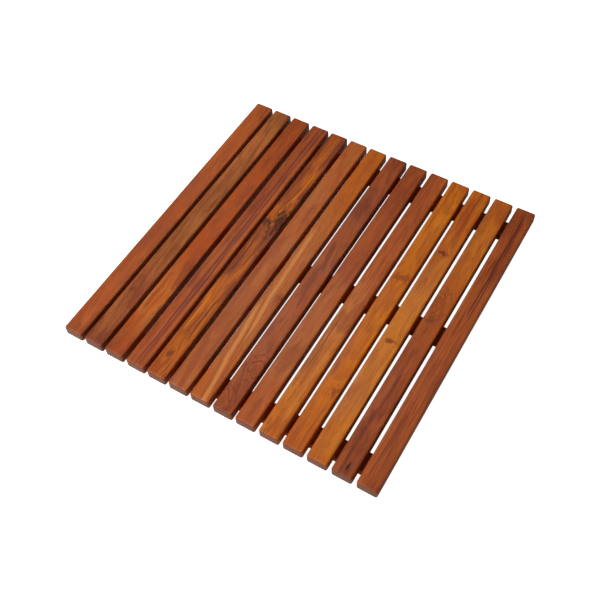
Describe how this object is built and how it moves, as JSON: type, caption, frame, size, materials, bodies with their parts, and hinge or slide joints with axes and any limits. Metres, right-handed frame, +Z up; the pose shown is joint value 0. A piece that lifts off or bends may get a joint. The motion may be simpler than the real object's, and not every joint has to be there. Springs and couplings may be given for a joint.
{
  "type": "bath mat",
  "caption": "Square slatted teak bath mat: oiled wooden slats screwed from below to cross rails, standing on small rubber feet.",
  "frame": {"origin": "centre of the mat's box, on the floor that the feet stand on", "axes": "+X across the slats, +Y along the slats towards the back, +Z up"},
  "size_m": [0.5886, 0.61, 0.036],
  "materials": {
    "teak_red": "oiled red-brown teak, satin",
    "teak_brown": "oiled dark brown teak, satin",
    "teak_amber": "oiled amber teak, satin",
    "teak_rail": "oiled dark teak, satin",
    "stainless_steel": "plain stainless steel",
    "rubber": "matt black rubber"
  },
  "bodies": {
    "root": {"slat_01": "teak_red", "slat_02": "teak_brown", "slat_03": "teak_red", "slat_04": "teak_brown", "slat_05": "teak_amber", "slat_06": "teak_red", "slat_07": "teak_amber", "slat_08": "teak_brown", "slat_09": "teak_red", "slat_10": "teak_amber", "slat_11": "teak_amber", "slat_12": "teak_amber", "slat_13": "teak_red", "slat_14": "teak_brown", "rail_front": "teak_rail", "rail_middle": "teak_rail", "rail_back": "teak_rail", "screw_front_01": "stainless_steel", "screw_front_02": "stainless_steel", "screw_front_03": "stainless_steel", "screw_front_04": "stainless_steel", "screw_front_05": "stainless_steel", "screw_front_06": "stainless_steel", "screw_front_07": "stainless_steel", "screw_front_08": "stainless_steel", "screw_front_09": "stainless_steel", "screw_front_10": "stainless_steel", "screw_front_11": "stainless_steel", "screw_front_12": "stainless_steel", "screw_front_13": "stainless_steel", "screw_front_14": "stainless_steel", "screw_back_01": "stainless_steel", "screw_back_02": "stainless_steel", "screw_back_03": "stainless_steel", "screw_back_04": "stainless_steel", "screw_back_05": "stainless_steel", "screw_back_06": "stainless_steel", "screw_back_07": "stainless_steel", "screw_back_08": "stainless_steel", "screw_back_09": "stainless_steel", "screw_back_10": "stainless_steel", "screw_back_11": "stainless_steel", "screw_back_12": "stainless_steel", "screw_back_13": "stainless_steel", "screw_back_14": "stainless_steel", "foot_front_left": "rubber", "foot_front_middle": "rubber", "foot_front_right": "rubber", "foot_middle_left": "rubber", "foot_middle_middle": "rubber", "foot_middle_right": "rubber", "foot_back_left": "rubber", "foot_back_middle": "rubber", "foot_back_right": "rubber"}
  },
  "joints": []
}
